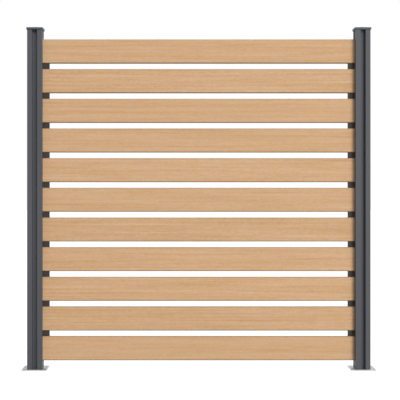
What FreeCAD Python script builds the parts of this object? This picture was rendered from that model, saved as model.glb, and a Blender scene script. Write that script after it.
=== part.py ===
import FreeCAD
import Part
import Sketcher

import os

# Garden privacy screen: eleven hollow boards between two grooved aluminium posts.
# The boards' ends stand in the posts' inner grooves, one above the other, with a moulded
# spacer at each end of every gap. Caps close the posts, and each post is screwed to a base
# plate that is bolted to the ground.
#
# Millimetres. X runs along the screen, Y from its front to its back, Z up. The origin is on
# the ground, midway between the posts and in the middle of their depth.

SIZES = [
    # the whole screen
    ("overall_width", 1830.0, "over the outer faces of the two posts"),
    ("lowest_board_height", 46.0, "ground to the underside of the lowest board"),
    ("post_above_boards", 57.5, "top of the highest board to the top end of the posts"),
    # boards
    ("board_height", 128.5, "one board, edge to edge"),
    ("board_thickness", 25.0, "front face to back face"),
    ("board_gap", 30.5, "open gap between two boards"),
    ("board_end_gap", 4.0, "end of a board to the floor of the post's groove"),
    ("board_edge_bevel", 3.5, "bevel along a board's four long edges"),
    ("board_face_wall", 4.5, "front and back walls of a hollow board"),
    ("board_web", 4.0, "webs between the chambers, and the floor of each edge groove"),
    ("board_chambers", 5, "chambers side by side in a board"),
    ("key_groove_width", 8.4, "groove along the top and bottom edges of a board"),
    ("key_groove_depth", 5.0, "depth of that groove"),
    # posts
    ("post_width", 80.0, "square post, outer face to outer face"),
    ("post_wall", 2.5, "walls of the post's extrusion"),
    ("groove_width", 27.0, "groove down the middle of each face of the post"),
    ("post_corner_radius", 1.5, "rounding of the post's four corners"),
    ("port_width", 9.0, "square boss in each corner chamber that takes a screw"),
    # spacers and supports
    ("spacer_reach", 35.7, "part of a spacer that shows beside the post"),
    ("spacer_thickness", 12.0, "front to back of the part that shows"),
    ("spacer_wall", 2.5, "walls of the hollow spacers and supports"),
    # caps
    ("cap_wall", 3.4, "skirt of a cap"),
    ("cap_skirt", 8.5, "how far the skirt reaches down round the post"),
    ("cap_top", 3.0, "flat part of a cap above the post's end"),
    ("cap_ledge", 1.5, "level ledge round the foot of a cap's pyramid"),
    ("cap_rise", 7.0, "pyramid on a cap, from its foot to its peak"),
    ("cap_peak", 2.0, "small flat on top of the pyramid"),
    ("cap_corner_radius", 2.0, "rounding of a cap's four upright corners"),
    ("cap_leg_length", 22.0, "legs under a cap that grip the core of the post"),
    ("cap_leg_wall", 2.5, "thickness of those legs"),
    ("cap_leg_slot", 9.0, "slots that part the legs"),
    # base plates and their screws
    ("plate_width", 133.0, "square base plate"),
    ("plate_thickness", 5.0, "thickness of a base plate"),
    ("bolt_spacing", 100.0, "ground bolt holes, hole to hole both ways"),
    ("bolt_hole", 11.0, "ground bolt holes, diameter"),
    ("screw_diameter", 5.5, "shank of a base screw"),
    ("screw_length", 35.0, "base screw, head included"),
    ("screw_head", 10.6, "countersunk head, diameter"),
    ("screw_socket", 3.6, "hexagon socket in the head, across flats"),
    ("socket_depth", 1.8, "depth of that socket"),
    # clearances
    ("slide_clearance", 0.3, "each side, spacers and supports in the grooves"),
    ("end_clearance", 0.5, "spacers and supports to the floor of the post's groove"),
    ("cap_clearance", 0.35, "each side, cap to post"),
    ("screw_clearance", 0.15, "all round a screw, in its hole and its port"),
]

ALIASES = {alias for alias, number, meaning in SIZES}
BOARD_COUNT = 11
SIDES = ("left", "right")

doc = FreeCAD.newDocument("GardenPrivacyScreen")

sheet = doc.addObject("Spreadsheet::Sheet", "Sizes")
for row, (alias, number, meaning) in enumerate(SIZES, start=1):
    sheet.set(f"A{row}", alias)
    sheet.set(f"B{row}", str(number))
    sheet.set(f"C{row}", meaning)
    sheet.setAlias(f"B{row}", alias)
doc.recompute()


def size(text):
    """Write Sizes. in front of every alias that the expression uses."""
    words = []
    for word in text.replace("(", "( ").replace(")", " )").split():
        words.append(f"Sizes.{word}" if word in ALIASES else word)
    return "(" + " ".join(words) + ")"


# sizes that follow from the ones in the sheet
PITCH = size("board_height + board_gap")
GROOVE_DEPTH = size("( post_width - groove_width ) / 2 - post_wall")
BOARD_LENGTH = (
    f"({size('overall_width - 2 * post_width')}"
    f" + 2 * ({GROOVE_DEPTH} - {size('board_end_gap')}))"
)
STACK = f"({BOARD_COUNT} * {PITCH} - {size('board_gap')})"
POST_LENGTH = (
    f"({size('lowest_board_height - plate_thickness + post_above_boards')} + {STACK})"
)
POST_CENTRE = size("( overall_width - post_width ) / 2")
POST_INNER_FACE = size("overall_width / 2 - post_width")
CORE_WIDTH = size("groove_width + 2 * post_wall")
CORE_BORE = size("groove_width")
PORT_CENTRE = size("( groove_width + port_width ) / 2")
CAP_WIDTH = size("post_width + 2 * cap_clearance + 2 * cap_wall")
CHAMBER_HEIGHT = size(
    "( board_height - 2 * key_groove_depth - ( board_chambers + 1 ) * board_web )"
    " / board_chambers"
)
TONGUE_WIDTH = size("key_groove_width - 2 * slide_clearance")
TONGUE_DEPTH = size("key_groove_depth - slide_clearance")
HEAD_THICKNESS = size("groove_width - 2 * slide_clearance")
HEAD_DEPTH = f"({GROOVE_DEPTH} - {size('end_clearance')})"


def number(expression):
    """The expression's value with the sheet as it stands."""
    return float(sheet.evalExpression(expression))


# ---------------------------------------------------------------- sketching


def new_body(label):
    body = doc.addObject("PartDesign::Body", label)
    body.Label = label
    return body


def origin_feature(body, role):
    """One of the planes and axes that a body is drawn on."""
    return next(f for f in body.Origin.OriginFeatures if f.Role == role)


def new_sketch(body, name, plane, offset="0", sideways="0"):
    """A sketch on one of the body's origin planes, moved along its normal and sideways."""
    sketch = body.newObject("Sketcher::SketchObject", name)
    sketch.AttachmentSupport = [(origin_feature(body, plane), "")]
    sketch.MapMode = "FlatFace"
    if offset != "0":
        sketch.setExpression("AttachmentOffset.Base.z", offset)
    if sideways != "0":
        sketch.setExpression("AttachmentOffset.Base.x", sideways)
    return sketch


def constrain(sketch, constraint, expression=None):
    index = sketch.addConstraint(constraint)
    if expression:
        sketch.setExpression(f"Constraints[{index}]", expression)


def pin(sketch, direction, geometry, point, expression):
    """Tie a point's X or Y to the sheet, measured from the sketch's origin."""
    here = number(expression)
    kind = f"Distance{direction}"
    if abs(here) < 1e-9:
        axis = -2 if direction == "X" else -1
        constrain(sketch, Sketcher.Constraint("PointOnObject", geometry, point, axis))
    elif here > 0:
        held = Sketcher.Constraint(kind, -1, 1, geometry, point, here)
        constrain(sketch, held, expression)
    else:
        held = Sketcher.Constraint(kind, geometry, point, -1, 1, -here)
        constrain(sketch, held, f"-{expression}")


def turn_at(before, corner, after, reach):
    """Where a corner's rounding or bevel begins and ends, the rounding's centre, and the turn."""
    come = (corner - before).normalize()
    go = (after - corner).normalize()
    begin = corner - come * reach
    end = corner + go * reach
    centre = begin + go * reach
    return begin, end, centre, come.cross(go).z


def outline(sketch, corners, bevelled=False):
    """A closed outline of level and upright lines. A corner is (x, y) or (x, y, size), and
    those with a size are rounded, or else bevelled."""
    points = [FreeCAD.Vector(number(c[0]), number(c[1]), 0) for c in corners]
    sizes = [c[2] if len(c) > 2 else None for c in corners]
    count = len(corners)
    turns = []
    for i in range(count):
        reach = number(sizes[i]) if sizes[i] else 0.0
        turns.append(turn_at(points[i - 1], points[i], points[(i + 1) % count], reach))
    lines = []
    for i in range(count):
        start = turns[i][1]
        end = turns[(i + 1) % count][0]
        line = sketch.addGeometry(Part.LineSegment(start, end))
        lines.append(line)
        if abs(start.x - end.x) < 1e-9:
            constrain(sketch, Sketcher.Constraint("Vertical", line))
            pin(sketch, "X", line, 1, corners[i][0])
        else:
            constrain(sketch, Sketcher.Constraint("Horizontal", line))
            pin(sketch, "Y", line, 1, corners[i][1])
    for i in range(count):
        begin, end, centre, turn = turns[i]
        before, after = lines[i - 1], lines[i]
        if not sizes[i]:
            constrain(sketch, Sketcher.Constraint("Coincident", before, 2, after, 1))
            continue
        if bevelled:
            slant = sketch.addGeometry(Part.LineSegment(begin, end))
            constrain(sketch, Sketcher.Constraint("Coincident", before, 2, slant, 1))
            constrain(sketch, Sketcher.Constraint("Coincident", slant, 2, after, 1))
            for direction, change in (("X", end.x - begin.x), ("Y", end.y - begin.y)):
                low, high = (1, 2) if change > 0 else (2, 1)
                kind = f"Distance{direction}"
                held = Sketcher.Constraint(kind, slant, low, slant, high, abs(change))
                constrain(sketch, held, sizes[i])
            continue
        first, last = (begin, end) if turn > 0 else (end, begin)
        middle = centre + (points[i] - centre).normalize() * (begin - centre).Length
        arc = sketch.addGeometry(Part.Arc(first, middle, last))
        near, far = (1, 2) if turn > 0 else (2, 1)
        constrain(sketch, Sketcher.Constraint("Tangent", before, 2, arc, near))
        constrain(sketch, Sketcher.Constraint("Tangent", arc, far, after, 1))
        held = Sketcher.Constraint("Radius", arc, number(sizes[i]))
        constrain(sketch, held, sizes[i])


def rectangle(sketch, left, bottom, right, top, radius=None):
    rounded = (radius,) if radius else ()
    corners = [(left, bottom), (right, bottom), (right, top), (left, top)]
    outline(sketch, [corner + rounded for corner in corners])


def square(sketch, width, radius=None):
    """A square round the sketch's origin."""
    half = f"({width} / 2)"
    rectangle(sketch, f"(-{half})", f"(-{half})", half, half, radius)


def circle(sketch, x, y, diameter):
    centre = FreeCAD.Vector(number(x), number(y), 0)
    upright = FreeCAD.Vector(0, 0, 1)
    round_edge = Part.Circle(centre, upright, number(diameter) / 2)
    geometry = sketch.addGeometry(round_edge)
    pin(sketch, "X", geometry, 3, x)
    pin(sketch, "Y", geometry, 3, y)
    held = Sketcher.Constraint("Diameter", geometry, number(diameter))
    constrain(sketch, held, diameter)


# ---------------------------------------------------------------- features


def pad(body, name, sketch, length, symmetric=False, downwards=False):
    feature = body.newObject("PartDesign::Pad", name)
    feature.Profile = sketch
    feature.setExpression("Length", length)
    feature.SideType = "Symmetric" if symmetric else "One side"
    feature.Reversed = downwards
    return feature


def pocket(body, name, sketch, length=None, symmetric=False, against=False):
    """A cut along the sketch's normal, or against it. With no length it goes right through."""
    feature = body.newObject("PartDesign::Pocket", name)
    feature.Profile = sketch
    if length is None:
        feature.Type = "ThroughAll"
    else:
        feature.setExpression("Length", length)
    feature.SideType = "Symmetric" if symmetric else "One side"
    feature.Reversed = not against
    return feature


def cut_checked(body, make_cut):
    """Make a cut and stop the build if it took nothing away."""
    doc.recompute()
    before = body.Shape.Volume
    feature = make_cut()
    doc.recompute()
    if body.Shape.Volume > before - 1.0:
        raise RuntimeError(f"{body.Label}: {feature.Name} cuts nothing")
    return feature


def four_times(body, name, features):
    """Repeat features at quarter turns about the body's upright axis."""
    pattern = body.newObject("PartDesign::PolarPattern", name)
    pattern.Originals = features
    pattern.Axis = (origin_feature(body, "Z_Axis"), [""])
    pattern.Angle = 360
    pattern.Occurrences = 4
    body.Tip = pattern
    return pattern


def place(piece, x="0", y="0", z="0", half_turn=False):
    if half_turn:
        piece.Placement.Rotation = FreeCAD.Rotation(FreeCAD.Vector(0, 0, 1), 180)
    for axis, expression in (("x", x), ("y", y), ("z", z)):
        if expression != "0":
            piece.setExpression(f"Placement.Base.{axis}", expression)


def post_place(side):
    return f"(-{POST_CENTRE})" if side == "left" else POST_CENTRE


# ---------------------------------------------------------------- pieces


def make_post(side):
    """Grooved post: a core tube with a hollow square chamber at each corner."""
    body = new_body(f"{side}_post")
    core = new_sketch(body, "core_section", "XY_Plane")
    square(core, CORE_WIDTH)
    square(core, CORE_BORE)
    pad(body, "core", core, POST_LENGTH)

    groove_side = size("groove_width / 2")
    outer = size("post_width / 2")
    inner_low = size("groove_width / 2 + post_wall")
    inner_high = size("post_width / 2 - post_wall")
    rounding = size("post_corner_radius")
    chamber = new_sketch(body, "corner_section", "XY_Plane")
    outline(
        chamber,
        [
            (groove_side, groove_side),
            (outer, groove_side),
            (outer, outer, rounding),
            (groove_side, outer),
        ],
    )
    rectangle(chamber, inner_low, inner_low, inner_high, inner_high)
    corner = pad(body, "corner_chamber", chamber, POST_LENGTH)

    boss = new_sketch(body, "port_section", "XY_Plane")
    port_side = size("groove_width / 2 + port_width")
    rectangle(boss, groove_side, groove_side, port_side, port_side)
    port = pad(body, "screw_port", boss, POST_LENGTH)
    four_times(body, "four_corners", [corner, port])

    hole = new_sketch(body, "port_hole_section", "XY_Plane")
    hole_width = size("screw_diameter + 2 * screw_clearance")
    for x in (PORT_CENTRE, f"(-{PORT_CENTRE})"):
        for y in (PORT_CENTRE, f"(-{PORT_CENTRE})"):
            circle(hole, x, y, hole_width)
    cut_checked(body, lambda: pocket(body, "port_holes", hole))
    place(body, x=post_place(side), z=size("plate_thickness"))
    return body


def make_cap(side):
    """Cap: a low pyramid with a skirt round the post and four legs in its core."""
    body = new_body(f"{side}_post_cap")
    skirt_low = size("0 - cap_skirt")
    rim = new_sketch(body, "rim_section", "XY_Plane", skirt_low)
    square(rim, CAP_WIDTH, size("cap_corner_radius"))
    pad(body, "rim", rim, size("cap_skirt + cap_top"))

    pyramid = body.newObject("PartDesign::AdditiveWedge", "pyramid")
    pyramid.AttachmentSupport = [(origin_feature(body, "XZ_Plane"), "")]
    pyramid.MapMode = "FlatFace"
    pyramid.setExpression("AttachmentOffset.Base.y", size("cap_top"))
    pyramid.Ymin = 0
    pyramid.setExpression("Ymax", size("cap_rise"))
    foot = f"({CAP_WIDTH} / 2 - {size('cap_ledge')})"
    peak = size("cap_peak / 2")
    for low, high, reach in (
        ("Xmin", "Xmax", foot),
        ("Zmin", "Zmax", foot),
        ("X2min", "X2max", peak),
        ("Z2min", "Z2max", peak),
    ):
        pyramid.setExpression(low, f"-{reach}")
        pyramid.setExpression(high, reach)

    seat = new_sketch(body, "seat_section", "XY_Plane", skirt_low)
    square(seat, size("post_width + 2 * cap_clearance"))
    cut_checked(body, lambda: pocket(body, "post_seat", seat, size("cap_skirt")))

    legs = new_sketch(body, "leg_section", "XY_Plane")
    leg_width = f"({CORE_BORE} - {size('2 * cap_clearance')})"
    square(legs, leg_width)
    square(legs, f"({leg_width} - {size('2 * cap_leg_wall')})")
    pad(body, "legs", legs, size("cap_leg_length"), downwards=True)

    slots = new_sketch(body, "leg_slots", "XY_Plane")
    reach = f"({leg_width} / 2 + 1)"
    half = size("cap_leg_slot / 2")
    outline(
        slots,
        [
            (f"(-{half})", f"(-{reach})"),
            (half, f"(-{reach})"),
            (half, f"(-{half})"),
            (reach, f"(-{half})"),
            (reach, half),
            (half, half),
            (half, reach),
            (f"(-{half})", reach),
            (f"(-{half})", half),
            (f"(-{reach})", half),
            (f"(-{reach})", f"(-{half})"),
            (f"(-{half})", f"(-{half})"),
        ],
    )
    cut_checked(
        body,
        lambda: pocket(body, "slots", slots, size("cap_leg_length"), against=True),
    )
    place(body, x=post_place(side), z=f"({POST_LENGTH} + {size('plate_thickness')})")
    return body


def make_base_plate(side):
    """Base plate: four bolt holes for the ground, four countersunk ones for the post."""
    body = new_body(f"{side}_base_plate")
    section = new_sketch(body, "plate_section", "XY_Plane")
    square(section, size("plate_width"))
    pad(body, "plate", section, size("plate_thickness"))

    holes = new_sketch(body, "bolt_holes_section", "XY_Plane")
    reach = size("bolt_spacing / 2")
    for x in (reach, f"(-{reach})"):
        for y in (reach, f"(-{reach})"):
            circle(holes, x, y, size("bolt_hole"))
    cut_checked(body, lambda: pocket(body, "bolt_holes", holes))

    hole = new_sketch(
        body, "countersink_section", "XZ_Plane", f"(-{PORT_CENTRE})", PORT_CENTRE
    )
    shank = size("screw_diameter / 2 + screw_clearance")
    head = size("screw_head / 2 + screw_clearance")
    countersunk_outline(hole, shank, head, size("plate_thickness"))
    countersink = body.newObject("PartDesign::Groove", "countersink")
    countersink.Profile = hole
    countersink.ReferenceAxis = (hole, ["V_Axis"])
    countersink.Angle = 360
    doc.recompute()
    four_times(body, "four_countersinks", [countersink])
    place(body, x=post_place(side))
    return body


def countersunk_outline(sketch, shank, head, length):
    """Half the outline of a countersunk screw or its hole, round the sketch's upright axis."""
    points = [
        ("0", "0"),
        (head, "0"),
        (shank, f"({head} - {shank})"),
        (shank, length),
        ("0", length),
    ]
    places = [FreeCAD.Vector(number(x), number(y), 0) for x, y in points]
    lines = []
    for i, start in enumerate(places):
        end = places[(i + 1) % len(places)]
        lines.append(sketch.addGeometry(Part.LineSegment(start, end)))
    for i, line in enumerate(lines):
        after = lines[(i + 1) % len(lines)]
        constrain(sketch, Sketcher.Constraint("Coincident", line, 2, after, 1))
        pin(sketch, "X", line, 1, points[i][0])
        pin(sketch, "Y", line, 1, points[i][1])


def make_base_screw(side, index, x, y):
    """Countersunk screw, head down, with a hexagon socket."""
    body = new_body(f"{side}_base_screw_{index}")
    section = new_sketch(body, "screw_section", "XZ_Plane")
    shank = size("screw_diameter / 2")
    countersunk_outline(section, shank, size("screw_head / 2"), size("screw_length"))
    turned = body.newObject("PartDesign::Revolution", "screw")
    turned.Profile = section
    turned.ReferenceAxis = (section, ["V_Axis"])
    turned.Angle = 360
    doc.recompute()

    socket = new_sketch(body, "socket_section", "XY_Plane")
    hexagon(socket, size("screw_socket"))
    cut_checked(body, lambda: pocket(body, "socket", socket, size("socket_depth")))
    place(body, x=f"({post_place(side)} + {x})", y=y, z=size("screw_clearance / 2"))
    return body


def hexagon(sketch, across_flats):
    """A regular hexagon round the sketch's origin, with two flats level."""
    radius = number(across_flats) / 3**0.5
    turn = FreeCAD.Rotation(FreeCAD.Vector(0, 0, 1), 60)
    corner = FreeCAD.Vector(radius, 0, 0)
    lines = []
    for side in range(6):
        following = turn.multVec(corner)
        lines.append(sketch.addGeometry(Part.LineSegment(corner, following)))
        corner = following
    upright = FreeCAD.Vector(0, 0, 1)
    ring = sketch.addGeometry(Part.Circle(FreeCAD.Vector(0, 0, 0), upright, radius), True)
    constrain(sketch, Sketcher.Constraint("Coincident", ring, 3, -1, 1))
    for i, line in enumerate(lines):
        constrain(sketch, Sketcher.Constraint("Coincident", line, 2, lines[(i + 1) % 6], 1))
        constrain(sketch, Sketcher.Constraint("PointOnObject", line, 1, ring))
    for line in lines[1:]:
        constrain(sketch, Sketcher.Constraint("Equal", lines[0], line))
    constrain(sketch, Sketcher.Constraint("PointOnObject", lines[0], 1, -1))
    held = Sketcher.Constraint("Diameter", ring, 2 * radius)
    constrain(sketch, held, f"(2 * {across_flats} / sqrt(3))")


def make_base_screws(side):
    """The four screws of one base plate, as one group."""
    screws = []
    for x in (f"(-{PORT_CENTRE})", PORT_CENTRE):
        for y in (f"(-{PORT_CENTRE})", PORT_CENTRE):
            screws.append(make_base_screw(side, len(screws) + 1, x, y))
    group = doc.addObject("Part::Compound", f"{side}_base_screws")
    group.Label = f"{side}_base_screws"
    group.Links = screws
    return group


def make_board(index):
    """Hollow board: a row of chambers inside, and a groove along the top and bottom edges."""
    body = new_body(f"board_{index:02d}")
    section = new_sketch(body, "board_section", "YZ_Plane")
    side = size("board_thickness / 2")
    edge = size("board_height / 2")
    key = size("key_groove_width / 2")
    floor = size("board_height / 2 - key_groove_depth")
    bevel = size("board_edge_bevel")
    outline(
        section,
        [
            (f"(-{side})", f"(-{edge})", bevel),
            (f"(-{key})", f"(-{edge})"),
            (f"(-{key})", f"(-{floor})"),
            (key, f"(-{floor})"),
            (key, f"(-{edge})"),
            (side, f"(-{edge})", bevel),
            (side, edge, bevel),
            (key, edge),
            (key, floor),
            (f"(-{key})", floor),
            (f"(-{key})", edge),
            (f"(-{side})", edge, bevel),
        ],
        bevelled=True,
    )
    pad(body, "board", section, BOARD_LENGTH, symmetric=True)

    chamber = new_sketch(body, "chamber_section", "YZ_Plane")
    wall = size("board_thickness / 2 - board_face_wall")
    low = f"({size('key_groove_depth + board_web - board_height / 2')})"
    high = f"({low} + {CHAMBER_HEIGHT})"
    rectangle(chamber, f"(-{wall})", low, wall, high)
    first = cut_checked(
        body,
        lambda: pocket(body, "chamber", chamber, BOARD_LENGTH, symmetric=True),
    )
    chambers = body.newObject("PartDesign::LinearPattern", "chambers")
    chambers.Originals = [first]
    chambers.Direction = (origin_feature(body, "Z_Axis"), [""])
    chambers.setExpression("Occurrences", size("board_chambers"))
    span = f"(({CHAMBER_HEIGHT} + {size('board_web')}) * {size('board_chambers - 1')})"
    chambers.setExpression("Length", span)
    body.Tip = chambers
    below = f"({BOARD_COUNT - index} * {PITCH})"
    place(body, z=f"({size('lowest_board_height + board_height / 2')} + {below})")
    return body


def spacer_place(piece, side, z):
    """Set a piece that is drawn at the left post's inner face, reaching towards +X."""
    if side == "left":
        place(piece, x=f"(-{POST_INNER_FACE})", z=z)
    else:
        place(piece, x=POST_INNER_FACE, z=z, half_turn=True)


def make_spacer(side, index):
    """Spacer: a head in the post's groove, a showing part, and a tongue up and down."""
    body = new_body(f"{side}_spacer_{index:02d}")
    head = f"({HEAD_THICKNESS} / 2)"
    tab = size("spacer_thickness / 2")
    reach = size("spacer_reach")
    back = f"(-{HEAD_DEPTH})"
    section = new_sketch(body, "spacer_section", "XY_Plane")
    outline(
        section,
        [
            (back, f"(-{head})"),
            ("0", f"(-{head})"),
            ("0", f"(-{tab})"),
            (reach, f"(-{tab})"),
            (reach, tab),
            ("0", tab),
            ("0", head),
            (back, head),
        ],
    )
    pad(body, "block", section, size("board_gap"))

    tongue = new_sketch(body, "tongue_section", "XY_Plane", f"(-{TONGUE_DEPTH})")
    half = f"({TONGUE_WIDTH} / 2)"
    tip = size("spacer_reach - spacer_wall")
    rectangle(tongue, back, f"(-{half})", tip, half)
    pad(body, "tongues", tongue, f"({size('board_gap')} + 2 * {TONGUE_DEPTH})")

    hollow = new_sketch(body, "hollow_section", "YZ_Plane", back)
    wall = size("spacer_thickness / 2 - spacer_wall")
    rectangle(
        hollow,
        f"(-{wall})",
        size("spacer_wall"),
        wall,
        size("board_gap - spacer_wall"),
    )
    depth = f"({HEAD_DEPTH} + {size('spacer_reach - spacer_wall')})"
    cut_checked(body, lambda: pocket(body, "hollow", hollow, depth))
    below = f"({BOARD_COUNT - 1 - index} * {PITCH})"
    spacer_place(
        body, side, f"({size('lowest_board_height + board_height')} + {below})"
    )
    return body


def make_bottom_support(side):
    """Support: stands on the base plate inside the groove and carries the lowest board."""
    body = new_body(f"{side}_bottom_support")
    height = size("lowest_board_height - plate_thickness")
    head = f"({HEAD_THICKNESS} / 2)"
    back = f"(-{HEAD_DEPTH})"
    front = size("0 - end_clearance")
    section = new_sketch(body, "support_section", "XY_Plane")
    rectangle(section, back, f"(-{head})", front, head)
    pad(body, "block", section, height)

    tongue = new_sketch(body, "tongue_section", "XY_Plane")
    half = f"({TONGUE_WIDTH} / 2)"
    rectangle(tongue, back, f"(-{half})", front, half)
    pad(body, "tongue", tongue, f"({height} + {TONGUE_DEPTH})")

    hollow = new_sketch(body, "hollow_section", "XY_Plane")
    rectangle(
        hollow,
        f"({back} + {size('spacer_wall')})",
        f"(-{head} + {size('spacer_wall')})",
        f"({front} - {size('spacer_wall')})",
        f"({head} - {size('spacer_wall')})",
    )
    depth = f"({height} - {size('spacer_wall')})"
    cut_checked(body, lambda: pocket(body, "hollow", hollow, depth))
    spacer_place(body, side, size("plate_thickness"))
    return body


# ---------------------------------------------------------------- the screen

nodes = []
for side in SIDES:
    nodes.append(make_post(side))
    nodes.append(make_cap(side))
    nodes.append(make_base_plate(side))
    nodes.append(make_base_screws(side))
    nodes.append(make_bottom_support(side))
    nodes += [make_spacer(side, index) for index in range(1, BOARD_COUNT)]
nodes += [make_board(index) for index in range(1, BOARD_COUNT + 1)]
doc.recompute()

for item in doc.Objects:
    if "Invalid" in item.State or "Error" in item.State:
        raise RuntimeError(f"{item.Label} failed: {item.State}")
for node in nodes:
    if node.Shape.isNull() or not node.Shape.isValid():
        raise RuntimeError(f"{node.Label} has no valid shape")

os.makedirs("parts", exist_ok=True)
for node in nodes:
    node.Shape.exportStep(f"parts/{node.Label}.step")
print(len(nodes), "nodes written")
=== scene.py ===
import math

import bpy
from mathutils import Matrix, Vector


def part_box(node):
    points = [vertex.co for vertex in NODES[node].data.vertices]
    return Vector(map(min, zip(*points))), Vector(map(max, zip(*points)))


bl_info = {
    "name": "Garden Privacy Screen",
    "version": (1, 0, 0),
    "blender": (4, 5, 0),
    "location": "3D View > Sidebar > Screen",
    "description": "Finishes a slatted garden privacy screen and sets it on its stage",
    "category": "Object",
}

# Metres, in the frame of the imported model: X along the screen, Y from its front to its back,
# Z up, the origin on the ground midway between the posts.
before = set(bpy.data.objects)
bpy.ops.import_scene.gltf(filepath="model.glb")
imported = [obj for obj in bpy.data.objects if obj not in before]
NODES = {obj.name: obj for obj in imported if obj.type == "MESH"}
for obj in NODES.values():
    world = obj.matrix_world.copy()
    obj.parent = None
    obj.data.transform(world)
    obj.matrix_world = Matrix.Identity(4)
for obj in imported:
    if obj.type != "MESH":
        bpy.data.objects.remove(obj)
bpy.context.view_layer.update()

BOARDS = sorted(name for name in NODES if name.startswith("board_"))
POSTS = ("left_post", "right_post")
CAPS = ("left_post_cap", "right_post_cap")
PLATES = ("left_base_plate", "right_base_plate")
SCREWS = ("left_base_screws", "right_base_screws")
SPACERS = sorted(name for name in NODES if "_spacer_" in name)
SUPPORTS = ("left_bottom_support", "right_bottom_support")

TOP_BOARD, NEXT_BOARD, LOWEST_BOARD = (
    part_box(name) for name in (BOARDS[0], BOARDS[1], BOARDS[-1]))
BOARD_PITCH = TOP_BOARD[0].z - NEXT_BOARD[0].z
BOARD_GAP = TOP_BOARD[0].z - NEXT_BOARD[1].z
STACK_FOOT = LOWEST_BOARD[0].z - BOARD_GAP / 2

# Layers of the boards' grain: the length and the height of their streaks next to the usual
# ones, the detail of the noise, and how much the layer weighs in the tone.
GRAIN = {
    "usual": (1.0, 1.0, 1.0, 0.84),
    "broad": (2.0, 3.0, 2.0, 0.2),
    "short": (1 / 12, 0.5, 1.0, 0.41),
    "speck": (1 / 40, 0.5, 1.0, 0.56),
    "fine": (1 / 10, 1 / 8, 2.0, 0.3),
}
HUE_STREAK = (1 / 8, 1.3, 2.0)
VEIN_STREAK = (0.8, 0.55, 2.0)
PORE_STREAK = (1 / 50, 1 / 10, 1.0)
# Veins and pores show where their noise lies between these, from not at all to fully.
VEIN_RANGE = (0.58, 0.73)
PORE_RANGE = (0.62, 0.72)
# How fast the grain changes through a board, next to how fast it changes up the board.
GRAIN_DEPTH = 0.6
# The grain's bends for each metre, and how far the grain is moved at most from board to board.
BENDS = (2.2, 8.0, 9.0)
BOARD_SHIFT = (40.0, 0.0, 7.0)
# The grain's contrast goes from the first to the second by a chance for each board.
CONTRAST = (0.7, 1.35)
# How much of the boards' relief comes from the usual and the fine streaks and the pores.
USUAL_RELIEF, FINE_RELIEF, PORE_RELIEF = 0.6, 0.4, -0.35

# The powder coat: its clouds for each metre, drawn out upwards, where its grit shows as specks,
# the specks' tone next to the coat's, and how much of the relief comes from waves and grit.
COAT_CLOUDS = (6.0, 6.0, 1.5)
SPECK_RANGE = (0.6, 0.75)
SPECK_TONE = 1.5
WAVE_RELIEF, GRIT_RELIEF = 0.3, 0.7

# Noise for each metre: the plastics' clouds, and the zinc's stirring, clouds and unevenness.
PLASTIC_CLOUDS = 25.0
ZINC_STIRRING, ZINC_CLOUDS, ZINC_UNEVENNESS = 150.0, 30.0, 300.0
# Most shades of the zinc lie between these two.
ZINC_RANGE = (0.2, 0.8)
# The darkest and the palest tone of the screws' plating, next to its colour.
PLATING_TONES = (0.85, 1.1)

# Corners closer than this are one corner, and only edges sharper than this angle are rounded.
WELD_REACH = 0.00001
SHARP_ANGLE = math.radians(30)

# Between these two lie most values of a noise.
NOISE_LOW, NOISE_HIGH = 0.3, 0.7
WHITE = (1.0, 1.0, 1.0, 1.0)
PHOTO_PIXELS = 400
SENSOR_WIDTH = 36.0


def colour_property(name, description, default):
    """A colour of a finish, as linear values."""
    return bpy.props.FloatVectorProperty(
        name=name, description=description, default=default,
        subtype="COLOR", size=3, min=0.0, max=1.0)


def length_property(name, description, default):
    """A length in metres."""
    return bpy.props.FloatProperty(
        name=name, description=description, default=default,
        unit="LENGTH", min=0.0, precision=5)


def angle_property(name, description, degrees):
    """An angle, given in degrees."""
    return bpy.props.FloatProperty(
        name=name, description=description, default=math.radians(degrees),
        subtype="ANGLE", min=0.0)


def share_property(name, description, default):
    """A share from none to all."""
    return bpy.props.FloatProperty(
        name=name, description=description, default=default,
        subtype="FACTOR", min=0.0, max=1.0)


class BoardSettings(bpy.types.PropertyGroup):
    """Wood-fibre composite with a printed and brushed level grain."""

    pale: colour_property("Pale streaks", "Yellower tone of the early wood", (0.7, 0.475, 0.305))
    deep: colour_property("Deep streaks", "Pinker tone of the late wood", (0.555, 0.31, 0.138))
    warm: colour_property(
        "Warm patches", "What the tone is multiplied by where it is warm", (1.0, 0.978, 0.925))
    cool: colour_property(
        "Cool patches", "What the tone is multiplied by where it is cool", (0.96, 0.983, 0.995))
    vein_colour: colour_property("Veins", "Colour of the long veins", (0.4551, 0.2542, 0.11316))
    vein_share: share_property("Vein strength", "How much of that colour shows in a vein", 0.5)
    pore_colour: colour_property("Pores", "Colour of the short dark pores", (0.25, 0.14, 0.07))
    pore_share: share_property("Pore strength", "How much of that colour shows in a pore", 0.16)
    board_change: share_property("Change", "How much the tone changes from board to board", 0.03)
    streak_length: length_property("Streak length", "Usual length of a grain streak", 0.6)
    streak_height: length_property("Streak height", "Usual height of a grain streak", 0.011)
    wander: length_property("Wander", "How far the grain strays up and down", 0.006)
    # Painted shade, not raw composite: a darker band along each board's long edges. It is strongest
    # along the bottom, where the rounded edge turns down into shade, and weaker along the top.
    edge_shade_colour: colour_property(
        "Edges", "Raw composite along the boards' edges", (0.17, 0.125, 0.09))
    edge_width: length_property("Edge width", "Band where the raw composite shows", 0.006)
    edge_shade_end: length_property("Edge end", "Outer part of that band where it shows most", 0.001)
    lower_edge_shade: share_property("Lower edge", "How much of it shows at a board's bottom", 0.85)
    upper_edge_shade: share_property("Upper edge", "How much of it shows at a board's top", 0.38)
    relief: length_property("Relief", "Depth of the brushed grain", 0.00025)
    roughness: share_property("Roughness", "Roughness of the brushed surface", 0.65)
    roughness_change: share_property("Roughness change", "How much that changes", 0.06)
    shine: share_property("Shine", "Strength of the surface's reflection", 0.2)


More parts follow.
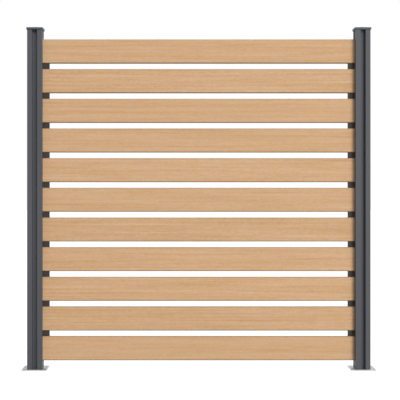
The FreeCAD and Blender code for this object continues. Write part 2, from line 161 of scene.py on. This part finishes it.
class PostSettings(bpy.types.PropertyGroup):
    """Powder-coated aluminium."""

    colour: colour_property("Colour", "Anthracite powder coat", (0.070, 0.0735, 0.083))
    change: share_property("Change", "How much the colour changes along a post", 0.06)
    speck: share_property("Specks", "How much paler grains show in the coat", 0.25)
    peel: length_property("Peel", "Spacing of the waves in the coat", 0.004)
    grit: length_property("Grit", "Spacing of the grains in the coat", 0.0005)
    relief: length_property("Relief", "Depth of the waves and grains", 0.00012)
    roughness: share_property("Roughness", "Roughness of the powder coat", 0.45)
    roughness_change: share_property("Roughness change", "How much that changes", 0.04)
    shine: share_property("Shine", "Strength of the surface's reflection", 0.32)
    edge: length_property("Edge", "Rounding of the groove's lips", 0.0012)


class CapSettings(bpy.types.PropertyGroup):
    """Moulded plastic in the tone of the posts."""

    colour: colour_property("Colour", "Anthracite plastic", (0.043, 0.045, 0.0505))
    change: share_property("Change", "How much the colour changes over a piece", 0.08)
    grain: length_property("Grain", "Spacing of the mould's fine texture", 0.0009)
    relief: length_property("Relief", "Depth of that texture", 0.00003)
    roughness: share_property("Roughness", "Roughness of the eroded mould surface", 0.5)
    roughness_change: share_property("Roughness change", "How much that changes", 0.05)
    shine: share_property("Shine", "Strength of the surface's reflection", 0.5)
    edge: length_property("Edge", "Rounding of the cap's edges", 0.0006)


class SpacerSettings(bpy.types.PropertyGroup):
    """Moulded plastic, brown black."""

    colour: colour_property("Colour", "Brown-black plastic", (0.044, 0.036, 0.031))
    change: share_property("Change", "How much the colour changes over a piece", 0.08)
    grain: length_property("Grain", "Spacing of the mould's fine texture", 0.0012)
    relief: length_property("Relief", "Depth of that texture", 0.00004)
    roughness: share_property("Roughness", "Roughness of the moulded surface", 0.55)
    roughness_change: share_property("Roughness change", "How much that changes", 0.05)
    shine: share_property("Shine", "Strength of the surface's reflection", 0.2)
    edge: length_property("Edge", "Rounding of the spacers' edges", 0.0006)


class PlateSettings(bpy.types.PropertyGroup):
    """Galvanised steel."""

    colour: colour_property("Colour", "Zinc in a middle tone", (0.37, 0.37, 0.366))
    change: share_property("Change", "How much the tone changes between crystals", 0.18)
    spangle: length_property("Spangle", "Size of the zinc's crystals", 0.007)
    stir: length_property("Stir", "How far the crystals' borders are moved", 0.004)
    relief: length_property("Relief", "Depth of the zinc's unevenness", 0.00006)
    roughness: share_property("Roughness", "Roughness of the zinc", 0.4)
    roughness_change: share_property("Roughness change", "How much that changes", 0.08)
    edge: length_property("Edge", "Rounding of the plate's edges", 0.0007)


class ScrewSettings(bpy.types.PropertyGroup):
    """Bright zinc-plated steel."""

    colour: colour_property("Colour", "Bright zinc plating", (0.56, 0.56, 0.55))
    grain: length_property("Grain", "Spacing of the drawn marks", 0.0005)
    relief: length_property("Relief", "Depth of those marks", 0.00002)
    roughness: share_property("Roughness", "Roughness of the plating", 0.3)
    roughness_change: share_property("Roughness change", "How much that changes", 0.06)


class StageSettings(bpy.types.PropertyGroup):
    """Floor, lamps and camera."""

    distance: length_property("Distance", "Camera to the front of the posts", 5.7)
    pixel: length_property(
        "Pixel", "One pixel of the photograph at the front of the posts", 0.0053264)
    centre: bpy.props.FloatVectorProperty(
        name="Centre", description="Pixel that the camera is level with and square to",
        default=(178.0, 180.0), size=2)
    middle: bpy.props.FloatVectorProperty(
        name="Middle", description="Pixel where the middle of the posts' front meets the ground",
        default=(198.8, 369.9), size=2)
    floor: colour_property("Floor", "Pale floor", (0.25, 0.25, 0.25))
    floor_width: length_property("Floor width", "Side of the floor", 60.0)
    floor_glow: share_property(
        "Floor glow", "White that the camera sees in the floor's shadow", 0.93)
    sky: share_property("Sky", "Even light from all around", 0.46)
    key_strength: bpy.props.FloatProperty(
        name="Key", description="Strength of the main lamp", default=2.04, min=0.0)
    key_turn: angle_property(
        "Key turn", "How far to the right of the front the main light comes from", 27.0)
    key_rise: angle_property("Key rise", "How far above level it comes from", 27.0)
    rear_strength: bpy.props.FloatProperty(
        name="Rear", description="Strength of the lamp behind the object", default=1.2, min=0.0)
    rear_turn: angle_property(
        "Rear turn", "How far round from the front that light comes from", 160.0)
    rear_rise: angle_property("Rear rise", "How far above level it comes from", 55.0)
    spread: angle_property("Spread", "How wide both lights are", 38.0)
    side_power: bpy.props.FloatProperty(
        name="Side", description="Power of the lamp beside the camera", default=90.0,
        unit="POWER", min=0.0)
    side_place: bpy.props.FloatVectorProperty(
        name="Side place", description="Where that lamp stands", default=(4.0, -6.0, 1.0),
        subtype="TRANSLATION", unit="LENGTH", size=3)
    side_size: length_property("Side size", "Side of that lamp", 2.0)


def add_node(tree, kind, inputs=None, **settings):
    """Adds a node, gives it its settings, and sets or links its inputs."""
    node = tree.nodes.new(kind)
    for name, value in settings.items():
        setattr(node, name, value)
    for name, value in (inputs or {}).items():
        set_input(tree, node.inputs[name], value)
    return node


def set_input(tree, socket, value):
    """Links a socket to a value that is itself a socket, or sets it."""
    if isinstance(value, bpy.types.NodeSocket):
        tree.links.new(value, socket)
    else:
        socket.default_value = value


def add_math(tree, operation, *values):
    """The result of one sum."""
    return add_node(
        tree, "ShaderNodeMath", dict(enumerate(values)), operation=operation).outputs[0]


def add_sum(tree, start, weighted):
    """A start plus each value times its weight."""
    total = start
    for value, weight in weighted:
        total = add_math(tree, "MULTIPLY_ADD", value, weight, total)
    return total


def add_vector_math(tree, operation, *values):
    """The result of one sum of vectors."""
    return add_node(
        tree, "ShaderNodeVectorMath", dict(enumerate(values)), operation=operation).outputs[0]


def add_range(tree, value, low, high, new_low, new_high):
    """A value taken from one range to another, and held inside it."""
    inputs = {"Value": value, "From Min": low, "From Max": high,
              "To Min": new_low, "To Max": new_high}
    return add_node(tree, "ShaderNodeMapRange", inputs).outputs["Result"]


def spread_noise(tree, noise, low=0.0, high=1.0):
    """A noise whose usual values are drawn out from low to high."""
    return add_range(tree, noise, NOISE_LOW, NOISE_HIGH, low, high)


def add_noise(tree, place, detail, scale=1.0):
    """Noise from 0 to 1 at a place."""
    inputs = {"Vector": place, "Scale": scale, "Detail": detail}
    return add_node(tree, "ShaderNodeTexNoise", inputs).outputs["Fac"]


def add_mix(tree, share, first, second, blend="MIX"):
    """Two colours mixed."""
    node = add_node(tree, "ShaderNodeMix", data_type="RGBA", blend_type=blend)
    for index, value in ((0, share), (6, first), (7, second)):
        set_input(tree, node.inputs[index], value)
    return node.outputs[2]


def opaque(colour, factor=1.0):
    """A colour times a factor, with full alpha."""
    return (*(factor * part for part in colour), 1.0)


def new_finish(name):
    """A new material, its tree, its shader and the place on the object."""
    material = bpy.data.materials.new(name)
    material.use_nodes = True
    tree = material.node_tree
    place = add_node(tree, "ShaderNodeTexCoord").outputs["Object"]
    return material, tree, tree.nodes["Principled BSDF"], place


def set_surface(tree, shader, colour, roughness, height, relief, **others):
    """Gives the shader its colour, its roughness, its relief and other fixed values."""
    bump = add_node(tree, "ShaderNodeBump", {"Height": height, "Distance": relief, "Strength": 1.0})
    tree.links.new(colour, shader.inputs["Base Color"])
    tree.links.new(roughness, shader.inputs["Roughness"])
    tree.links.new(bump.outputs["Normal"], shader.inputs["Normal"])
    for name, value in others.items():
        shader.inputs[name.replace("_", " ")].default_value = value


def spread_colour(tree, share, look):
    """The finish's colour, from a little darker to a little paler by a share."""
    return add_mix(tree, share, opaque(look.colour, 1 - look.change),
                   opaque(look.colour, 1 + look.change))


def spread_roughness(tree, noise, look, low=NOISE_LOW, high=NOISE_HIGH):
    """The finish's roughness, changed a little by a noise that lies between low and high."""
    return add_range(tree, noise, low, high, look.roughness - look.roughness_change,
                     look.roughness + look.roughness_change)


def wear(nodes, material):
    """Gives a material to CAD nodes."""
    for name in nodes:
        for slot in NODES[name].material_slots:
            slot.material = material


def soften_edges(nodes, width):
    """Rounds the sharp edges of CAD nodes a little."""
    for name in nodes:
        weld = NODES[name].modifiers.new("Weld", "WELD")
        weld.merge_threshold = WELD_REACH
        bevel = NODES[name].modifiers.new("Edges", "BEVEL")
        bevel.width = width
        bevel.segments = 2
        bevel.limit_method = "ANGLE"
        bevel.angle_limit = SHARP_ANGLE
        bevel.harden_normals = True


class SCREEN_OT_boards(bpy.types.Operator):
    """Gives the boards their wood-fibre composite"""

    bl_idname = "privacy_screen.boards"
    bl_label = "Boards"

    def execute(self, context):
        look = context.scene.screen_boards
        material, tree, shader, place = new_finish("board_composite")
        height = add_node(tree, "ShaderNodeSeparateXYZ", {0: place}).outputs["Z"]
        step = add_math(
            tree, "MULTIPLY_ADD", height, 1 / BOARD_PITCH, -STACK_FOOT / BOARD_PITCH)
        board = add_math(tree, "FLOOR", step)
        chance = add_node(
            tree, "ShaderNodeTexWhiteNoise", {"W": board}, noise_dimensions="1D").outputs
        grained = self.bend_grain(tree, place, chance, look)

        layers = {name: self.add_streaks(tree, grained, look, *streak)
                  for name, (*streak, weight) in GRAIN.items()}
        veins = self.add_streaks(tree, grained, look, *VEIN_STREAK)
        veins = add_range(tree, veins, *VEIN_RANGE, 0.0, look.vein_share)
        pores = self.add_streaks(tree, grained, look, *PORE_STREAK)
        pores = add_range(tree, pores, *PORE_RANGE, 0.0, 1.0)

        toned = self.mix_tone(tree, layers, chance, look)
        hue = spread_noise(tree, self.add_streaks(tree, grained, look, *HUE_STREAK))
        tint = add_mix(tree, hue, opaque(look.cool), opaque(look.warm))
        toned = add_mix(tree, 1.0, toned, tint, "MULTIPLY")
        toned = add_mix(tree, veins, toned, opaque(look.vein_colour))
        pore_share = add_math(tree, "MULTIPLY", pores, look.pore_share)
        toned = add_mix(tree, pore_share, toned, opaque(look.pore_colour))
        value = add_math(tree, "MULTIPLY_ADD", chance["Value"], look.board_change,
                         1 - look.board_change / 2)
        toned = add_node(tree, "ShaderNodeHueSaturation", {"Color": toned, "Value": value})
        # Painted shade along each board's edges, darkest at its bottom.
        edge_shade_share = self.painted_edge_shade(tree, step, board, look)
        toned = add_mix(tree, edge_shade_share, toned.outputs[0], opaque(look.edge_shade_colour))

        rough = spread_roughness(tree, layers["usual"], look)
        height = add_sum(tree, 0.0, (
            (layers["usual"], USUAL_RELIEF), (layers["fine"], FINE_RELIEF), (pores, PORE_RELIEF)))
        set_surface(tree, shader, toned, rough, height, look.relief,
                    Specular_IOR_Level=look.shine)
        wear(BOARDS, material)
        return {"FINISHED"}

    def bend_grain(self, tree, place, chance, look):
        """The place, moved by a chance for each board and led a little up and down."""
        shift = add_vector_math(tree, "MULTIPLY", chance["Color"], BOARD_SHIFT)
        moved = add_vector_math(tree, "ADD", place, shift)
        bend = add_noise(tree, add_vector_math(tree, "MULTIPLY", moved, BENDS), 1.0)
        lift = add_math(tree, "MULTIPLY_ADD", bend, 2 * look.wander, -look.wander)
        rise = add_node(tree, "ShaderNodeCombineXYZ", {"Z": lift}).outputs[0]
        return add_vector_math(tree, "ADD", moved, rise)

    def add_streaks(self, tree, grained, look, length, height, detail):
        """Noise drawn out along the board."""
        length *= look.streak_length
        height *= look.streak_height
        stretch = (1 / length, GRAIN_DEPTH / height, 1 / height)
        return add_noise(tree, add_vector_math(tree, "MULTIPLY", grained, stretch), detail)

    def mix_tone(self, tree, layers, chance, look):
        """The layers' sum as a colour between the deep and the pale tone."""
        weights = [weight for *streak, weight in GRAIN.values()]
        tone = add_sum(tree, -sum(weights) / 2, zip(layers.values(), weights))
        draw = add_node(tree, "ShaderNodeSeparateXYZ", {0: chance["Color"]}).outputs["Y"]
        contrast = add_range(tree, draw, 0.0, 1.0, *CONTRAST)
        tone = add_math(tree, "MULTIPLY_ADD", tone, contrast, 0.5)
        return add_mix(tree, tone, opaque(look.deep), opaque(look.pale))

    def painted_edge_shade(self, tree, step, board, look):
        """How much painted shade shows along a board's edges: most at its bottom, less at its top.
        """
        within = add_math(tree, "SUBTRACT", step, board)
        off_middle = add_math(tree, "ABSOLUTE", add_math(tree, "SUBTRACT", within, 0.5))
        height = add_math(tree, "MULTIPLY", off_middle, BOARD_PITCH)
        edge = (BOARD_PITCH - BOARD_GAP) / 2
        shaded = add_range(tree, height, edge - look.edge_width, edge - look.edge_shade_end, 0.0, 1.0)
        lower = add_math(tree, "LESS_THAN", within, 0.5)
        share = add_math(tree, "MULTIPLY_ADD", lower, look.lower_edge_shade - look.upper_edge_shade,
                         look.upper_edge_shade)
        return add_math(tree, "MULTIPLY", shaded, share)


class SCREEN_OT_posts(bpy.types.Operator):
    """Gives the posts their powder coat and rounds the lips of their grooves"""

    bl_idname = "privacy_screen.posts"
    bl_label = "Posts"

    def execute(self, context):
        look = context.scene.screen_posts
        material, tree, shader, place = new_finish("powder_coat")
        waves = add_noise(tree, place, 1.0, 1 / look.peel)
        grit = add_noise(tree, place, 2.0, 1 / look.grit)
        cloud = add_noise(tree, add_vector_math(tree, "MULTIPLY", place, COAT_CLOUDS), 3.0)
        toned = spread_colour(tree, spread_noise(tree, cloud), look)
        specks = add_range(tree, grit, *SPECK_RANGE, 0.0, look.speck)
        toned = add_mix(tree, specks, toned, opaque(look.colour, SPECK_TONE))
        height = add_sum(tree, 0.0, ((waves, WAVE_RELIEF), (grit, GRIT_RELIEF)))
        set_surface(tree, shader, toned, spread_roughness(tree, cloud, look), height,
                    look.relief, Specular_IOR_Level=look.shine)
        wear(POSTS, material)
        soften_edges(POSTS, look.edge)
        return {"FINISHED"}


def make_plastic(name, look):
    """Moulded plastic with a fine even texture from its mould."""
    material, tree, shader, place = new_finish(name)
    grain = add_noise(tree, place, 2.0, 1 / look.grain)
    cloud = add_noise(tree, place, 2.0, PLASTIC_CLOUDS)
    toned = spread_colour(tree, spread_noise(tree, cloud), look)
    rough = spread_roughness(tree, grain, look)
    set_surface(tree, shader, toned, rough, grain, look.relief, Specular_IOR_Level=look.shine)
    return material


class SCREEN_OT_caps(bpy.types.Operator):
    """Gives the post caps their plastic and softens their edges"""

    bl_idname = "privacy_screen.caps"
    bl_label = "Post caps"

    def execute(self, context):
        look = context.scene.screen_caps
        wear(CAPS, make_plastic("cap_plastic", look))
        soften_edges(CAPS, look.edge)
        return {"FINISHED"}


class SCREEN_OT_spacers(bpy.types.Operator):
    """Gives the spacers and the bottom supports their plastic"""

    bl_idname = "privacy_screen.spacers"
    bl_label = "Spacers and supports"

    def execute(self, context):
        look = context.scene.screen_spacers
        wear([*SPACERS, *SUPPORTS], make_plastic("spacer_plastic", look))
        soften_edges(SPACERS, look.edge)
        return {"FINISHED"}


class SCREEN_OT_plates(bpy.types.Operator):
    """Gives the base plates their zinc and softens their edges"""

    bl_idname = "privacy_screen.plates"
    bl_label = "Base plates"

    def execute(self, context):
        look = context.scene.screen_plates
        material, tree, shader, place = new_finish("galvanised_steel")
        inputs = {"Vector": place, "Scale": ZINC_STIRRING}
        stir = add_node(tree, "ShaderNodeTexNoise", inputs).outputs["Color"]
        stir = add_vector_math(tree, "MULTIPLY", stir, (look.stir,) * 3)
        inputs = {"Vector": add_vector_math(tree, "ADD", place, stir), "Scale": 1 / look.spangle}
        crystal = add_node(tree, "ShaderNodeTexVoronoi", inputs).outputs["Color"]
        shade = add_node(tree, "ShaderNodeSeparateXYZ", {0: crystal}).outputs["X"]
        cloud = add_noise(tree, place, 3.0, ZINC_CLOUDS)
        shade = add_sum(tree, 0.0, ((shade, 0.5), (cloud, 0.5)))
        rough = spread_roughness(tree, shade, look, *ZINC_RANGE)
        height = add_noise(tree, place, 3.0, ZINC_UNEVENNESS)
        set_surface(tree, shader, spread_colour(tree, shade, look), rough, height,
                    look.relief, Metallic=1.0)
        wear(PLATES, material)
        soften_edges(PLATES, look.edge)
        return {"FINISHED"}


class SCREEN_OT_screws(bpy.types.Operator):
    """Gives the base screws their plating"""

    bl_idname = "privacy_screen.screws"
    bl_label = "Base screws"

    def execute(self, context):
        look = context.scene.screen_screws
        material, tree, shader, place = new_finish("zinc_plating")
        marks = add_noise(tree, place, 3.0, 1 / look.grain)
        toned = add_mix(tree, marks, *(opaque(look.colour, tone) for tone in PLATING_TONES))
        set_surface(tree, shader, toned, spread_roughness(tree, marks, look), marks,
                    look.relief, Metallic=1.0)
        wear(SCREWS, material)
        return {"FINISHED"}


def seen_as_background(tree):
    """1 for what the camera sees, straight or in a reflection, and 0 for light on the object."""
    path = add_node(tree, "ShaderNodeLightPath").outputs
    seen = add_math(tree, "MAXIMUM", path["Is Camera Ray"], path["Is Glossy Ray"])
    return add_math(tree, "MAXIMUM", seen, path["Is Transmission Ray"])


class SCREEN_OT_stage(bpy.types.Operator):
    """Lays the floor, hangs the lamps and sets the camera at the photograph's place"""

    bl_idname = "privacy_screen.stage"
    bl_label = "Stage"

    def execute(self, context):
        look = context.scene.screen_stage
        self.lay_floor(look)
        self.light_sky(context, look)
        self.hang_lamps(context, look)
        self.set_camera(context, look)
        context.scene.view_settings.view_transform = "Standard"
        return {"FINISHED"}

    def lay_floor(self, look):
        """The floor, which the camera sees as white also where the object's shadow lies."""
        bpy.ops.mesh.primitive_plane_add(size=look.floor_width)
        floor = bpy.context.object
        floor.name = "floor"
        material = bpy.data.materials.new("pale_floor")
        material.use_nodes = True
        tree = material.node_tree
        tree.nodes.clear()
        matt = add_node(tree, "ShaderNodeBsdfDiffuse", {"Color": opaque(look.floor)}).outputs[0]
        strength = add_math(tree, "MULTIPLY", seen_as_background(tree), look.floor_glow)
        glow = add_node(tree, "ShaderNodeEmission", {"Strength": strength}).outputs[0]
        both = add_node(tree, "ShaderNodeAddShader", {0: matt, 1: glow}).outputs[0]
        add_node(tree, "ShaderNodeOutputMaterial", {"Surface": both})
        floor.data.materials.append(material)

    def light_sky(self, context, look):
        """Even light from all around, which the camera sees as white."""
        world = bpy.data.worlds.new("studio")
        world.use_nodes = True
        tree = world.node_tree
        strength = add_range(tree, seen_as_background(tree), 0.0, 1.0, look.sky, 1.0)
        background = tree.nodes["Background"]
        background.inputs["Color"].default_value = WHITE
        tree.links.new(strength, background.inputs["Strength"])
        context.scene.world = world

    def hang_lamps(self, context, look):
        """Two wide lights without falloff, before and behind, and a lamp beside the camera."""
        suns = {"key": (look.key_strength, look.key_turn, look.key_rise),
                "rear": (look.rear_strength, look.rear_turn, look.rear_rise)}
        for name, (strength, turn, rise) in suns.items():
            light = bpy.data.lights.new(name, "SUN")
            light.energy = strength
            light.angle = look.spread
            lamp = bpy.data.objects.new(name, light)
            lamp.rotation_euler = (math.pi / 2 - rise, 0.0, turn)
            context.collection.objects.link(lamp)

        light = bpy.data.lights.new("side", "AREA")
        light.energy = look.side_power
        light.size = look.side_size
        lamp = bpy.data.objects.new("side", light)
        lamp.location = look.side_place
        across, along = look.side_place[:2]
        lamp.rotation_euler = (math.pi / 2, 0.0, math.atan2(across, -along))
        context.collection.objects.link(lamp)

    def set_camera(self, context, look):
        """The camera, square to the object, with the photograph's centre and scale."""
        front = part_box(POSTS[0])[0].y
        optics = bpy.data.cameras.new("camera")
        optics.sensor_width = SENSOR_WIDTH
        optics.lens = SENSOR_WIDTH * look.distance / (look.pixel * PHOTO_PIXELS)
        optics.shift_x = 0.5 - look.centre[0] / PHOTO_PIXELS
        optics.shift_y = look.centre[1] / PHOTO_PIXELS - 0.5
        camera = bpy.data.objects.new("camera", optics)
        camera.location = (
            (look.centre[0] - look.middle[0]) * look.pixel,
            front - look.distance,
            (look.middle[1] - look.centre[1]) * look.pixel,
        )
        camera.rotation_euler = (math.radians(90), 0.0, 0.0)
        context.collection.objects.link(camera)
        context.scene.camera = camera


OPERATORS = (
    SCREEN_OT_boards,
    SCREEN_OT_posts,
    SCREEN_OT_caps,
    SCREEN_OT_spacers,
    SCREEN_OT_plates,
    SCREEN_OT_screws,
    SCREEN_OT_stage,
)
SETTINGS = {
    "screen_boards": BoardSettings,
    "screen_posts": PostSettings,
    "screen_caps": CapSettings,
    "screen_spacers": SpacerSettings,
    "screen_plates": PlateSettings,
    "screen_screws": ScrewSettings,
    "screen_stage": StageSettings,
}


class SCREEN_PT_panel(bpy.types.Panel):
    """Lists the pieces and their settings"""

    bl_idname = "SCREEN_PT_panel"
    bl_label = "Privacy Screen"
    bl_space_type = "VIEW_3D"
    bl_region_type = "UI"
    bl_category = "Screen"

    def draw(self, context):
        for operator, settings in zip(OPERATORS, SETTINGS):
            box = self.layout.box()
            box.operator(operator.bl_idname)
            for name in SETTINGS[settings].__annotations__:
                box.prop(getattr(context.scene, settings), name)


def register():
    for settings, group in SETTINGS.items():
        bpy.utils.register_class(group)
        setattr(bpy.types.Scene, settings, bpy.props.PointerProperty(type=group))
    for operator in OPERATORS:
        bpy.utils.register_class(operator)
    bpy.utils.register_class(SCREEN_PT_panel)


def unregister():
    bpy.utils.unregister_class(SCREEN_PT_panel)
    for operator in reversed(OPERATORS):
        bpy.utils.unregister_class(operator)
    for settings, group in reversed(SETTINGS.items()):
        delattr(bpy.types.Scene, settings)
        bpy.utils.unregister_class(group)


def main():
    register()
    for operator in OPERATORS:
        group, name = operator.bl_idname.split(".")
        getattr(getattr(bpy.ops, group), name)()


if __name__ == "__main__":
    main()
